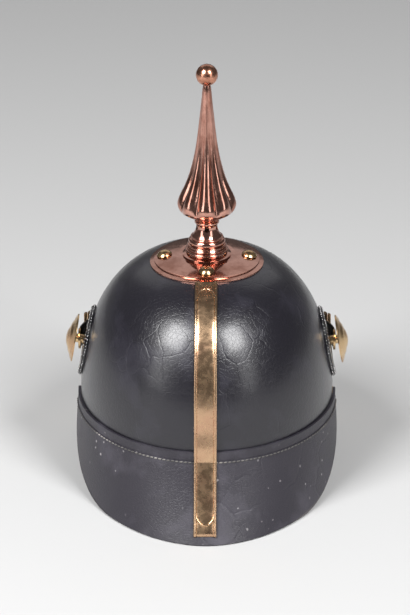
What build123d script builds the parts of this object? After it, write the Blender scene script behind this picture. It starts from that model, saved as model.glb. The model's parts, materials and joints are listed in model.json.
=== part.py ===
# A spiked helmet of black leather with brass and copper fittings.
# The wearer looks along +Y, the wearer's right is +X, and up is +Z.
# The spike's axis is the Z axis, and the helmet stands on the plane Z = 0, on the lower
# edges of its two visors.
import os
from math import acos, asin, cos, hypot, pi, radians, sin, sqrt, tan

from build123d import *

os.makedirs("parts", exist_ok=True)

# The leather skull: an egg-shaped dome that stands on its rim.
dome_foot = 50.0
dome_height = 113.2
skull_half_width = 91.8
skull_rear = 102.0
skull_front = 108.0
skull_leather = 3.0
rim_height = 52.0
vent_radius = 9.0

# The dome's outline: its radius share at a height share t is (1 - t^a)^(1/b).
dome_fullness_share = 2.316
dome_flatness_share = 2.836
dome_section_shares = (0, 0.12, 0.26, 0.40, 0.54, 0.67, 0.78, 0.87, 0.935, 0.975, 0.994)

# The visors: a flange round the skull's rim, then a flared skirt.
flange_leather = 1.8
flange_height = 6.5
flange_foot = 0.5
seam_step = 0.3
visor_leather = 2.4
lining_leather = 0.7
visor_half_width = 98.5
rear_reach = 133.0
front_reach = 134.4
bend_share = 0.25
rear_roundness_share = 1.85
front_roundness_share = 2.2
skirt_section_shares = (0, 0.3, 0.65, 1.0)
skirt_points = 20

# Where each visor ends beside the ears, and where its lower edge reaches the ground line.
rear_corner = 3.0
rear_corner_drop = 11.0
rear_level = 116.0
rear_edge_shares = ((0.147, 0.54), (0.379, 0.25), (0.586, 0.10), (0.793, 0.037))
front_corner = 24.0
front_corner_drop = 9.0
front_level = 96.0
front_edge_shares = ((0.475, 0.5), (0.715, 0.17))

# Brass over a leather edge.
seat_gap = 0.2
channel_gap = 0.15
channel_brass = 0.8
channel_width = 5.0
edge_height = channel_gap + channel_brass

# The spine strip up the back.
spine_width = 16.0
spine_brass = 1.1
spine_rail_width = 2.4
spine_rail_brass = 2.0
spine_filling = 1.0
spine_post_radius = 1.2
spine_post_heights = (83.0, 126.0)

# The base plate under the spike and its four studs.
plate_radius = 40.6
plate_step = 3.0
plate_rim = 1.1
plate_thickness = 2.2
stud_circle = 29.8
stud_head_radius = 5.5
stud_head_height = 3.6
stud_shank_radius = 1.5
stud_count = 4
stud_edge_share = 1 / 6

# The neck, the spike and the ball.
neck_height = 24.6
neck_foot_radius = 17.3
neck_waist_radius = 7.5
neck_top_radius = 8.4
neck_wall = 1.3
neck_vent_radius = 1.75
neck_vent_count = 5
neck_vent_drop = 3.4
seat_ring_height = 1.2
seat_ring_radius = 8.9
spike_height = 101.4
spike_max_radius = 20.8
flute_count = 8
ball_radius = 7.7
stud_radius = 3.0
stud_point_share = 0.25
stud_reach = 16.0
thread_length = 8.0
air_hole_share = 0.25
ring_round_share = 1 / 3
running_gap = 0.1

# The ears: cockade, rosette and the pivot of the chinscales.
ear_forward = 10.0
ear_height = 92.8
ear_lean = 10.0
cockade_radius = 25.5
cockade_brass = 1.6
cockade_rim = 2.3
cockade_rim_width = 3.0
rosette_radius = 17.5
rosette_height = 7.0
rosette_standoff = 7.6
collar_radius = 3.2
rosette_post_radius = 2.2
rosette_post_end_share = 2 / 3
eyelet_radius = 7.5
eyelet_thickness = 1.5
eyelet_offset = 4.6
eyelet_play = 0.4

# The chinscales, buckled together and lying round the front.
strap_dip = 13.0
strap_reach = 105.4
strap_width = 15.0
strap_leather = 1.6
scale_count = 11
scale_brass = 0.8
scale_first_width = 26.0
scale_last_width = 17.0
scale_start = 30.0
scale_overlap_share = 1.35
scale_round_share = 0.6
scale_lift = 8.0
scale_end = 34.0
tongue_width = 12.0
tongue_leather = 1.5
tongue_left = -30.0
tongue_right = 32.0
left_strap_end = -2.0
buckle_place = 15.0
buckle_length = 13.0
buckle_wire = 0.7
buckle_sink = 0.2
buckle_loop_play = 0.3
outer_bar_lift = 3.45
prong_radius = 0.6
prong_start = 1.0
prong_rise_share = 1.2
prong_slot_half = 1.4
prong_play = 0.25
prong_slot_length = 9.0
prong_slot_place = 1.7
keeper_place = 27.0
keeper_length = 4.0
keeper_brass = 0.8
rivet_places = (-9.0, -24.0)
rivet_head_radius = 2.0
rivet_head_height = 0.9
rivet_shank_radius = 0.8

# The plate on the front.
star_height = 106.0
star_radius = 40.0
star_waist_share = 0.55
star_short_share = 0.78
star_point_count = 8
star_corners = 4 * star_point_count
star_brass = 1.2
boss_radius = 13.5
boss_thickness = 1.6
ring_radius = 18.5
ring_thickness = 1.2
star_post_radius = 1.5
star_post_offset = 10.0

# Nuts and washers inside the skull.
nut_size = 6.0
nut_thickness = 2.2
washer_radius = 4.6
washer_thickness = 0.8
large_nut_size = 8.0
large_washer_radius = 7.0

# The sweatband and the gathered liner.
band_leather = 1.2
band_height = 22.0
liner_leather = 1.3
liner_foot = 4.0
liner_height = 88.0
liner_inset_shares = ((0, 0), (0.3, 0.13), (0.55, 0.28), (0.8, 0.53), (1.0, 1.0))
liner_first_inset = 4.65
liner_last_inset = 36.0
slot_count = 9
slot_width = 5.0
slot_foot = 46.0

overrun = 5.0
far = 2 * (skull_rear + skull_front)


# The dome

def dome_share(height_share):
    """The dome's radius share at a share of its height."""
    return (1 - height_share**dome_fullness_share) ** (1 / dome_flatness_share)


def dome_height_share(radius_share):
    """The share of the dome's height at which it has a radius share."""
    return (1 - radius_share**dome_flatness_share) ** (1 / dome_fullness_share)


skull_half_length = (skull_rear + skull_front) / 2
skull_shift = (skull_front - skull_rear) / 2


def dome_slope(height_share):
    """How fast the dome's mean radius shrinks with height."""
    if height_share == 0:
        return 0
    a = dome_fullness_share
    b = dome_flatness_share
    inner = (1 - height_share**a) ** (1 / b - 1)
    rate = -inner * a * height_share ** (a - 1) / b
    return rate * (skull_half_width + skull_half_length) / 2 / dome_height


def dome_section(height_share, grow):
    """Height, centre, half width and half length of one level section, grown outwards."""
    share = dome_share(height_share)
    slope = dome_slope(height_share)
    out = grow / hypot(1, slope)
    height = dome_foot + dome_height * height_share - slope * out
    centre = skull_shift * share
    return height, centre, skull_half_width * share + out, skull_half_length * share + out


def dome_solid(grow):
    """The whole dome as one solid, grown outwards by a distance."""
    with BuildPart() as dome:
        for height_share in dome_section_shares:
            height, centre, half_width, half_length = dome_section(height_share, grow)
            with BuildSketch(Plane.XY.offset(height)):
                with Locations((0, centre)):
                    Ellipse(half_width, half_length)
        loft()
    return dome.part


def dome_top(grow):
    """The height of the flat crown of a grown dome."""
    return dome_section(dome_section_shares[-1], grow)[0]


def skull_plane(side_angle, height_share):
    """A plane on the skull: its normal points out of the leather."""
    share = dome_share(height_share)
    slope = dome_slope(height_share)
    across = skull_half_width * share * cos(side_angle)
    along = skull_half_length * share * sin(side_angle)
    normal_across = cos(side_angle) * skull_half_length
    normal_along = sin(side_angle) * skull_half_width
    level = hypot(normal_across, normal_along)
    point = (across, skull_shift * share + along, dome_foot + dome_height * height_share)
    normal = (normal_across / level, normal_along / level, -slope)
    return Plane(origin=point, z_dir=normal)


# The skirt from which both visors are cut

def skirt_section(drop_share, grow):
    """Height, centre, half width, reach to the rear and to the front of one level section."""
    bend = (1 - bend_share) * drop_share + bend_share * drop_share**2
    flange = seat_gap + flange_leather + seam_step
    height = rim_height * (1 - drop_share)
    centre = skull_shift * (1 - bend)
    half_width = skull_half_width + flange + (visor_half_width - skull_half_width - flange) * bend
    rear = skull_rear + flange + (rear_reach - skull_rear - flange) * bend
    front = skull_front + flange + (front_reach - skull_front - flange) * bend
    rear_tilt = sqrt(1 + ((rear_reach - skull_rear) / rim_height) ** 2)
    front_tilt = sqrt(1 + ((front_reach - skull_front) / rim_height) ** 2)
    half_width += grow
    rear += grow * rear_tilt + centre
    front += grow * front_tilt - centre
    return height, centre, half_width, rear, front, bend


def skirt_outline(drop_share, grow):
    """The points of one level section of the skirt."""
    height, centre, half_width, rear, front, bend = skirt_section(drop_share, grow)
    points = []
    for index in range(skirt_points):
        angle = 2 * pi * index / skirt_points
        if sin(angle) < 0:
            power = 2 / (2 + (rear_roundness_share - 2) * bend)
            reach = rear
        else:
            power = 2 / (2 + (front_roundness_share - 2) * bend)
            reach = front
        across = half_width * abs(cos(angle)) ** power
        along = reach * abs(sin(angle)) ** power
        across = across if cos(angle) > 0 else -across
        along = along if sin(angle) > 0 else -along
        points.append((across, centre + along))
    return height, points


def skirt_solid(grow):
    """The whole skirt as one solid, grown outwards by a distance."""
    with BuildPart() as skirt:
        for drop_share in skirt_section_shares:
            height, points = skirt_outline(drop_share, grow)
            with BuildSketch(Plane.XY.offset(height)):
                with BuildLine():
                    Spline(*points, periodic=True)
                make_face()
        loft()
    return skirt.part


def level_slab(low, high):
    """A wide slab between two heights."""
    with BuildPart() as slab:
        with BuildSketch(Plane.XY.offset(low)):
            Rectangle(far, far)
        extrude(amount=high - low)
    return slab.part


def offset_points(points, distance):
    """The same open line moved sideways to its left by a distance."""
    moved = []
    for index, (x, y) in enumerate(points):
        before = points[max(index - 1, 0)]
        after = points[min(index + 1, len(points) - 1)]
        run = after[0] - before[0]
        rise = after[1] - before[1]
        length = hypot(run, rise)
        moved.append((x - rise / length * distance, y + run / length * distance))
    return moved


def between(outer, inner, within):
    """What lies between two solids and inside a third one."""
    with BuildPart() as layer:
        add(outer)
        add(inner, mode=Mode.SUBTRACT)
        add(within, mode=Mode.INTERSECT)
    return layer.part


flange_top = rim_height + flange_height

# The free edge of each visor seen from the side, from the ear down to the level part.
rear_edge = [
    (rear_corner, flange_top + overrun),
    (rear_corner, rim_height),
    (rear_corner - rear_corner_drop / 2, rim_height - rear_corner_drop),
    *[(-rear_level * run, rim_height * rise) for run, rise in rear_edge_shares],
    (-rear_level, edge_height),
]
front_edge = [
    (front_corner, flange_top + overrun),
    (front_corner, rim_height),
    (front_corner + front_corner_drop / 3, rim_height - front_corner_drop),
    *[(front_level * run, rim_height * rise) for run, rise in front_edge_shares],
    (front_level, edge_height),
]


def side_solid(edge, grow):
    """All that lies on the visor's side of its free edge, drawn out across the helmet."""
    end = far if edge[-1][0] > 0 else -far
    run = edge[-1][0] / abs(edge[-1][0])
    moved = offset_points(edge, -grow * run)
    with BuildPart() as side:
        with BuildSketch(Plane.YZ):
            with BuildLine():
                Spline(*moved)
                Polyline(moved[-1], (end, moved[-1][1]), (end, far), (moved[0][0], far), moved[0])
            make_face()
        extrude(amount=far / 2, both=True)
    return side.part


dome_seat = dome_solid(seat_gap)
flange_band = level_slab(rim_height - flange_foot, flange_top)
flange_shell = between(dome_solid(seat_gap + flange_leather), dome_seat, flange_band)
below_rim = level_slab(-overrun, rim_height - seat_gap)
skirt_shell = between(skirt_solid(0), skirt_solid(-visor_leather), below_rim)
lining_top = visor_leather + channel_gap
lining_shell = between(
    skirt_solid(-lining_top), skirt_solid(-lining_top - lining_leather), below_rim
)


def save(part, name):
    """Label a finished piece and write it."""
    part.label = name
    export_step(part, f"parts/{name}.step")


def visor(side, name):
    """One visor of stiff leather: the flange and the flared skirt."""
    with BuildPart() as leather:
        add(flange_shell)
        add(skirt_shell)
        add(side, mode=Mode.INTERSECT)
    save(leather.part, name)


def visor_lining(side, name):
    """The thin leather under one visor, a little short of its edge."""
    with BuildPart() as lining:
        add(lining_shell)
        add(side, mode=Mode.INTERSECT)
    save(lining.part, name)


# Brass folded round a visor's edge: outside, under and inside.
channel_inside = visor_leather + edge_height
channel_band = level_slab(-overrun, rim_height - overrun)
leather_room = between(
    skirt_solid(seat_gap), skirt_solid(-visor_leather - channel_gap), level_slab(-overrun, rim_height)
)
channel_shell = between(
    skirt_solid(edge_height + seat_gap / 2), skirt_solid(-channel_inside), channel_band
)


def edge_channel(edge):
    """The folded brass along one visor's edge, from that edge seen from the side."""
    outer_side = side_solid(edge, edge_height)
    inner_side = side_solid(edge, -channel_width)
    leather_side = side_solid(edge, channel_gap)
    with BuildPart() as room:
        add(leather_room)
        add(leather_side, mode=Mode.INTERSECT)
    with BuildPart() as channel:
        add(channel_shell)
        add(outer_side, mode=Mode.INTERSECT)
        add(inner_side, mode=Mode.SUBTRACT)
        add(room.part, mode=Mode.SUBTRACT)
    return channel.part


lining_inset = -channel_width - channel_gap
rear_side = side_solid(rear_edge, 0)
front_side = side_solid(front_edge, 0)
visor(rear_side, "rear_visor")
visor(front_side, "front_visor")
visor_lining(side_solid(rear_edge, lining_inset), "rear_visor_lining")
visor_lining(side_solid(front_edge, lining_inset), "front_visor_lining")
save(edge_channel(front_edge), "front_visor_trim")


# The skull and what sits on its crown

skull_outside = dome_solid(0)
skull_inside = dome_solid(-skull_leather)
height_of_ear_share = (ear_height - dome_foot) / dome_height
ear_radius_share = dome_share(height_of_ear_share)
ear_sine = (ear_forward - skull_shift * ear_radius_share) / (skull_half_length * ear_radius_share)
ear_half_width = skull_half_width * ear_radius_share * sqrt(1 - ear_sine**2)
lean = radians(ear_lean)
crown_reaches = (skull_half_width, skull_front, skull_half_width, skull_rear)


def ear_plane(side):
    """The plane of one ear's fittings: its normal leans up from the level."""
    point = (side * ear_half_width, ear_forward, ear_height)
    return Plane(origin=point, x_dir=(0, 1, 0), z_dir=(side * cos(lean), 0, sin(lean)))


def upright(plane):
    """A plane through the normal of another one, with that normal as its own Y."""
    return Plane(origin=plane.origin, x_dir=plane.x_dir, z_dir=-plane.y_dir)


stud_planes = [
    skull_plane(2 * pi * index / stud_count, dome_height_share(stud_circle / reach))
    for index, reach in enumerate(crown_reaches)
]
spine_planes = [
    skull_plane(-pi / 2, (height - dome_foot) / dome_height) for height in spine_post_heights
]
star_height_share = (star_height - dome_foot) / dome_height
star_tilt = star_post_offset / (skull_half_width * dome_share(star_height_share))
star_planes = [
    skull_plane(pi / 2 + side * star_tilt, star_height_share) for side in (1, -1)
]
ear_planes = [ear_plane(1), ear_plane(-1)]


def bores(planes, radius):
    """Round bars through the skull along the normals of some planes, for cutting holes."""
    with BuildPart() as bars:
        for plane in planes:
            with BuildSketch(plane):
                Circle(radius)
            extrude(amount=overrun, both=True)
    return bars.part


stud_bores = bores(stud_planes, stud_shank_radius + seat_gap)
spine_bores = bores(spine_planes, spine_post_radius + seat_gap)
star_bores = bores(star_planes, star_post_radius + seat_gap)
ear_bores = bores(ear_planes, rosette_post_radius + seat_gap)
with BuildPart() as skull:
    add(skull_outside)
    add(skull_inside, mode=Mode.SUBTRACT)
    add(level_slab(dome_foot - overrun, rim_height), mode=Mode.SUBTRACT)
    with BuildSketch(Plane.XY.offset(dome_foot + dome_height / 2)):
        Circle(vent_radius)
    extrude(amount=dome_height, mode=Mode.SUBTRACT)
    for cuts in (stud_bores, spine_bores, star_bores, ear_bores):
        add(cuts, mode=Mode.SUBTRACT)
save(skull.part, "skull")


def round_bar(radius, low, high):
    """An upright bar on the spike's axis, for cutting round plates."""
    with BuildPart() as bar:
        with BuildSketch(Plane.XY.offset(low)):
            Circle(radius)
        extrude(amount=high - low)
    return bar.part


crown_low = dome_foot + dome_height / 2
crown_high = dome_foot + dome_height + 2 * overrun
plate_body = between(
    dome_solid(seat_gap + plate_thickness),
    dome_seat,
    round_bar(plate_radius - plate_step, crown_low, crown_high),
)
plate_flange = between(
    dome_solid(seat_gap + plate_rim), dome_seat, round_bar(plate_radius, crown_low, crown_high)
)
with BuildPart() as base_plate:
    add(plate_body)
    add(plate_flange)
    with BuildSketch(Plane.XY.offset(crown_low)):
        Circle(vent_radius)
    extrude(amount=dome_height, mode=Mode.SUBTRACT)
    add(stud_bores, mode=Mode.SUBTRACT)
save(base_plate.part, "base_plate")


def cap_points(radius, base, height):
    """Three points of a round cap's outline, with its centre on the axis."""
    ball = (radius**2 + height**2) / (2 * height)
    half_angle = asin(radius / ball) / 2
    centre = base + height - ball
    middle = (ball * sin(half_angle), centre + ball * cos(half_angle))
    return (radius, base), middle, (0, base + height)


stud_seat = 2 * seat_gap + plate_thickness
stud_edge = stud_head_height * stud_edge_share
inside_seat = -skull_leather - 2 * seat_gap
stud_end = inside_seat - washer_thickness - nut_thickness - seat_gap - stud_shank_radius
with BuildPart() as base_studs:
    for plane in stud_planes:
        with BuildSketch(upright(plane)):
            with BuildLine():
                Polyline(
                    (0, stud_seat + stud_head_height),
                    (0, stud_end),
                    (stud_shank_radius, stud_end),
                    (stud_shank_radius, stud_seat),
                    (stud_head_radius, stud_seat),
                    (stud_head_radius, stud_seat + stud_edge),
                )
                ThreePointArc(
                    *cap_points(stud_head_radius, stud_seat + stud_edge, stud_head_height - stud_edge)
                )
            make_face()
        revolve(axis=Axis(plane.origin, plane.z_dir))
save(base_studs.part, "base_studs")


def washers_and_nuts(planes, name, shank, washer, nut, seat=inside_seat):
    """A round washer and a square nut against the skull's inside, for each post."""
    with BuildPart() as washers:
        for plane in planes:
            with BuildSketch(plane.offset(seat)):
                Circle(washer)
                Circle(shank + running_gap, mode=Mode.SUBTRACT)
            extrude(amount=-washer_thickness)
    save(washers.part, f"{name}_washers")
    with BuildPart() as nuts:
        for plane in planes:
            with BuildSketch(plane.offset(seat - washer_thickness - running_gap)):
                Rectangle(nut, nut)
                Circle(shank + running_gap, mode=Mode.SUBTRACT)
            extrude(amount=-nut_thickness)
    save(nuts.part, f"{name}_nuts")


washers_and_nuts(stud_planes, "stud", stud_shank_radius, washer_radius, nut_size)
washers_and_nuts(spine_planes, "spine", spine_post_radius, washer_radius, nut_size)
washers_and_nuts(star_planes, "star", star_post_radius, washer_radius, nut_size)
ear_seat = inside_seat - large_washer_radius * tan(lean) / 2
washers_and_nuts(
    ear_planes, "ear", rosette_post_radius, large_washer_radius, large_nut_size, ear_seat
)

# The neck: a turned bell with beads, on the base plate.
neck_seat = dome_top(seat_gap + plate_thickness) + running_gap
neck_foot_shares = ((1.0, 0.0), (1.0, 0.035), (0.84, 0.075))
neck_bead_shares = (
    ((0.835, 0.09), (0.90, 0.145), (0.83, 0.20)),
    ((0.80, 0.22), (0.84, 0.24), (0.80, 0.265)),
    ((0.775, 0.29), (0.805, 0.32), (0.77, 0.35)),
    ((0.735, 0.36), (0.76, 0.435), (0.71, 0.51)),
    ((0.65, 0.535), (0.675, 0.56), (0.63, 0.585)),
)
neck_bell_shares = ((0.60, 0.60), (0.54, 0.66), (0.475, 0.76), (0.434, 0.88), (0.445, 0.94))
neck_throat_radius = neck_waist_radius - neck_wall
neck_throat_share = 0.45


def neck_point(shares):
    """A point of the neck's outline from its shares of the foot's radius and the height."""
    return neck_foot_radius * shares[0], neck_height * shares[1]


with BuildPart() as spike_neck:
    with BuildSketch(Plane.XZ.offset(0)) as neck_profile:
        with BuildLine():
            last = neck_point(neck_foot_shares[-1])
            Polyline(*[neck_point(shares) for shares in neck_foot_shares])
            for bead in neck_bead_shares:
                low, middle, high = [neck_point(shares) for shares in bead]
                Line(last, low)
                ThreePointArc(low, middle, high)
                last = high
            bell = [neck_point(shares) for shares in neck_bell_shares]
            Line(last, bell[0])
            Spline(*bell, (neck_top_radius, neck_height))
            Polyline(
                (neck_top_radius, neck_height),
                (neck_throat_radius, neck_height),
                (neck_throat_radius, neck_height * neck_throat_share),
                (vent_radius, neck_height * neck_throat_share / 2),
                (vent_radius, 0),
                (neck_foot_radius, 0),
            )
        make_face()
    revolve(axis=Axis.Z)
    with PolarLocations(0, neck_vent_count, start_angle=-90):
        with Locations((neck_foot_radius / 2, 0, neck_height - neck_vent_drop)):
            Cylinder(neck_vent_radius, neck_foot_radius, rotation=(0, 90, 0), mode=Mode.SUBTRACT)
spike_neck.part.position = (0, 0, neck_seat)
save(spike_neck.part, "spike_neck")

# The threaded bush in the neck, with air holes round its bore.
bush_top = neck_height - neck_vent_drop - neck_vent_radius - neck_wall / 2
bush_radius = neck_throat_radius - running_gap
thread_radius = stud_radius + running_gap
with BuildPart() as neck_bush:
    with BuildSketch(Plane.XY.offset(neck_seat + bush_top - thread_length)):
        Circle(bush_radius)
        Circle(thread_radius, mode=Mode.SUBTRACT)
        with PolarLocations((bush_radius + thread_radius) / 2, neck_vent_count):
            Circle((bush_radius - thread_radius) * air_hole_share, mode=Mode.SUBTRACT)
    extrude(amount=thread_length)
save(neck_bush.part, "neck_bush")

# The seat ring, the spike, its threaded stud and the ball.
ring_seat = neck_seat + neck_height + running_gap
with BuildPart() as seat_ring:
    with BuildSketch(Plane.XY.offset(ring_seat)):
        Circle(seat_ring_radius)
        Circle(thread_radius, mode=Mode.SUBTRACT)
    extrude(amount=seat_ring_height)
    outer_edges = seat_ring.edges().filter_by(GeomType.CIRCLE).sort_by(SortBy.RADIUS)[-2:]
    fillet(outer_edges, seat_ring_height * ring_round_share)
save(seat_ring.part, "seat_ring")

spike_seat = ring_seat + seat_ring_height + running_gap
spike_outline_shares = (
    (0, 0.43, 0),
    (0.014, 0.47, 0),
    (0.0365, 0.585, 0),
    (0.06, 0.78, 0.0),
    (0.085, 0.94, 0.03),
    (0.115, 1.0, 0.11),
    (0.15, 0.985, 0.16),
    (0.186, 0.925, 0.18),
    (0.226, 0.835, 0.19),
    (0.30, 0.68, 0.19),
    (0.374, 0.565, 0.18),
    (0.522, 0.40, 0.16),
    (0.67, 0.30, 0.13),
    (0.80, 0.23, 0.08),
    (0.90, 0.18, 0.03),
    (1.0, 0.125, 0),
)
points_per_flute = 7


def flute_outline(radius, depth_share):
    """A round section with broad convex lobes and narrow valleys between them."""
    points = []
    for index in range(flute_count * points_per_flute):
        angle = 2 * pi * (index + 0.5) / (flute_count * points_per_flute)
        crest = abs(cos(angle * flute_count / 2))
        reach = radius * (1 - depth_share * (1 - crest))
        points.append((reach * sin(angle), -reach * cos(angle)))
    return points


with BuildPart() as spike:
    for height_share, radius_share, depth_share in spike_outline_shares:
        with BuildSketch(Plane.XY.offset(spike_seat + spike_height * height_share)):
            with BuildLine():
                Spline(*flute_outline(spike_max_radius * radius_share, depth_share), periodic=True)
            make_face()
    loft()
save(spike.part, "spike")

with BuildPart() as spike_stud:
    with BuildSketch(Plane.XY.offset(spike_seat - stud_reach)):
        Circle(stud_radius)
    extrude(amount=stud_reach)
    chamfer(spike_stud.faces().sort_by(Axis.Z)[0].edges(), stud_radius * stud_point_share)
save(spike_stud.part, "spike_stud")

ball_sink = ball_radius - sqrt(ball_radius**2 - (spike_max_radius * spike_outline_shares[-1][1]) ** 2)
with BuildPart() as spike_ball:
    with BuildSketch(Plane.XZ):
        with BuildLine():
            CenterArc((0, 0), ball_radius, -90, 180)
            Line((0, ball_radius), (0, -ball_radius))
        make_face()
    revolve(axis=Axis.Z)
    split(bisect_by=Plane.XY.offset(ball_sink - ball_radius), keep=Keep.TOP)
spike_ball.part.position = (0, 0, spike_seat + spike_height + running_gap + ball_radius - ball_sink)
save(spike_ball.part, "spike_ball")


# The ears

hinge_half_width = ear_half_width + eyelet_offset * cos(lean)
hinge_height = ear_height + eyelet_offset * sin(lean)
rim_inner = cockade_radius - cockade_rim_width


def turned_bar(plane, radius, length):
    """A round bar along a plane's normal, for cutting what lies round an ear."""
    with BuildPart() as bar:
        with BuildSketch(plane):
            Circle(radius)
        extrude(amount=length, both=True)
    return bar.part


cockade_face = dome_solid(seat_gap + cockade_brass)
cockade_crest = dome_solid(seat_gap + cockade_rim)
for side, word in ((1, "right"), (-1, "left")):
    plane = ear_plane(side)
    round_block = turned_bar(plane, cockade_radius, 2 * overrun)
    disc = between(cockade_face, dome_seat, round_block)
    rim = between(cockade_crest, dome_seat, round_block)
    well = turned_bar(plane, rim_inner, 3 * overrun)
    bore = turned_bar(plane, rosette_post_radius + seat_gap, 3 * overrun)
    with BuildPart() as cockade:
        add(rim)
        add(well, mode=Mode.SUBTRACT)
        add(disc)
        add(bore, mode=Mode.SUBTRACT)
    save(cockade.part, f"cockade_{word}")

collar_seat = 2 * seat_gap + cockade_brass
post_end = ear_seat - washer_thickness - nut_thickness - rosette_post_radius * rosette_post_end_share
rosette_outline_shares = (
    (1.0, 0.0),
    (1.0, 0.12),
    (0.93, 0.21),
    (0.78, 0.38),
    (0.75, 0.38),
    (0.57, 0.62),
    (0.54, 0.62),
    (0.4, 0.76),
)
for side, word in ((1, "right"), (-1, "left")):
    plane = ear_plane(side)
    base = rosette_standoff
    rosette_outline = [
        (rosette_radius * radius_share, base + rosette_height * height_share)
        for radius_share, height_share in rosette_outline_shares
    ]
    knob_radius, knob_base = rosette_outline[-1]
    with BuildPart() as rosette:
        with BuildSketch(upright(plane)):
            with BuildLine():
                Polyline(
                    (0, base + rosette_height),
                    (0, post_end),
                    (rosette_post_radius, post_end),
                    (rosette_post_radius, collar_seat),
                    (collar_radius, collar_seat),
                    (collar_radius, base),
                    *rosette_outline,
                )
                ThreePointArc(*cap_points(knob_radius, knob_base, base + rosette_height - knob_base))
            make_face()
        revolve(axis=Axis(plane.origin, plane.z_dir))
    save(rosette.part, f"rosette_{word}")


# The chinscales

for side, word in ((1, "right"), (-1, "left")):
    with BuildPart() as eyelet:
        with BuildSketch(
            Plane(origin=(side * hinge_half_width, ear_forward, hinge_height), z_dir=(1, 0, 0))
        ):
            Circle(eyelet_radius)
            Circle(collar_radius + eyelet_play, mode=Mode.SUBTRACT)
        extrude(amount=eyelet_thickness / 2, both=True)
    save(eyelet.part, f"eyelet_{word}")

dip = radians(strap_dip)
strap_plane = Plane(
    origin=(0, ear_forward, hinge_height), x_dir=(1, 0, 0), z_dir=(0, sin(dip), cos(dip))
)


def strap_frame(angle, out=0):
    """A plane on the chin line: X runs along it towards the right ear, Z points outwards."""
    across = hinge_half_width * cos(angle)
    ahead = strap_reach * sin(angle)
    normal_across = cos(angle) / hinge_half_width
    normal_ahead = sin(angle) / strap_reach
    length = hypot(normal_across, normal_ahead)
    outwards = (
        strap_plane.x_dir * (normal_across / length) + strap_plane.y_dir * (normal_ahead / length)
    )
    along = (
        strap_plane.x_dir * (normal_ahead / length) - strap_plane.y_dir * (normal_across / length)
    )
    middle = strap_plane.origin + strap_plane.x_dir * across + strap_plane.y_dir * ahead
    return Plane(origin=middle + outwards * out, x_dir=along, z_dir=outwards)


def angle_at(across):
    """Where the chin line stands at a distance to the right of the middle."""
    return acos(across / hinge_half_width)


def band(inner, outer, left, right, width):
    """A strip along the chin line, between two offsets from it and two places across."""
    with BuildPart() as strip:
        with BuildSketch(strap_plane):
            Ellipse(hinge_half_width + outer, strap_reach + outer)
            Ellipse(hinge_half_width + inner, strap_reach + inner, mode=Mode.SUBTRACT)
            with Locations(((left + right) / 2, strap_reach)):
                Rectangle(right - left, 2 * strap_reach, mode=Mode.INTERSECT)
        extrude(amount=width / 2, both=True)
    return strip.part


# Where the strap ends beside the eyelet.
with BuildPart() as eyelet_room:
    with BuildSketch(Plane(origin=(0, ear_forward, hinge_height), z_dir=(1, 0, 0))):
        Circle(eyelet_radius + running_gap)
    extrude(amount=far, both=True)

# The buckle's own axes: X along the strap, Y down, Z outwards, with the hinge bar at +X.
buckle_plane = strap_frame(angle_at(buckle_place))
strap_half = strap_leather / 2
bar_reach = buckle_length / 2
bar_sink = strap_half + buckle_sink
loop_radius = bar_sink + strap_half - buckle_loop_play
bar_room = buckle_wire + running_gap
loop_half_width = tongue_width / 2 + seat_gap
hinge_bar = buckle_plane.from_local_coords(Vector(bar_reach, 0, -bar_sink))
hinge_plane = Plane(origin=hinge_bar, x_dir=buckle_plane.x_dir, z_dir=buckle_plane.y_dir)
strap_start = buckle_place + bar_reach + buckle_wire + seat_gap

half_strap = band(-strap_half, strap_half, strap_start, far / 4, strap_width)
strap_neck = band(
    -strap_half, strap_half, buckle_place + bar_reach - seat_gap, strap_start + 1, 2 * loop_half_width
)
with BuildPart() as strap_right:
    add(half_strap)
    add(eyelet_room.part, mode=Mode.SUBTRACT)
    add(strap_neck)
    with BuildSketch(hinge_plane):
        Circle(loop_radius)
    extrude(amount=loop_half_width, both=True)
    with BuildSketch(hinge_plane):
        Circle(bar_room)
    extrude(amount=strap_width, both=True, mode=Mode.SUBTRACT)
    with BuildSketch(hinge_plane):
        Rectangle(2 * loop_radius + seat_gap, 4 * loop_radius)
    extrude(amount=prong_slot_half, both=True, mode=Mode.SUBTRACT)
save(strap_right.part, "strap_right")

other_strap = band(-strap_half, strap_half, -far / 4, left_strap_end, strap_width)
tongue_base = strap_half + seat_gap
tongue_face = tongue_base + tongue_leather
rivet_frames = [strap_frame(angle_at(place)) for place in rivet_places]


def rivet_bars(radius):
    """Round bars through the strap and the tongue at every rivet."""
    with BuildPart() as bars:
        for frame in rivet_frames:
            with BuildSketch(frame):
                Circle(radius)
            extrude(amount=overrun, both=True)
    return bars.part


rivet_holes = rivet_bars(rivet_shank_radius + running_gap)
with BuildPart() as strap_left:
    add(other_strap)
    add(eyelet_room.part, mode=Mode.SUBTRACT)
    add(rivet_holes, mode=Mode.SUBTRACT)
save(strap_left.part, "strap_left")

tongue_band = band(tongue_base, tongue_face, tongue_left, tongue_right, tongue_width)
with BuildPart() as strap_tongue:
    add(tongue_band)
    add(rivet_holes, mode=Mode.SUBTRACT)
    with BuildSketch(buckle_plane):
        with Locations((prong_slot_place, 0)):
            SlotOverall(prong_slot_length, 2 * prong_slot_half)
    extrude(amount=overrun, mode=Mode.SUBTRACT)
save(strap_tongue.part, "strap_tongue")

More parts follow.
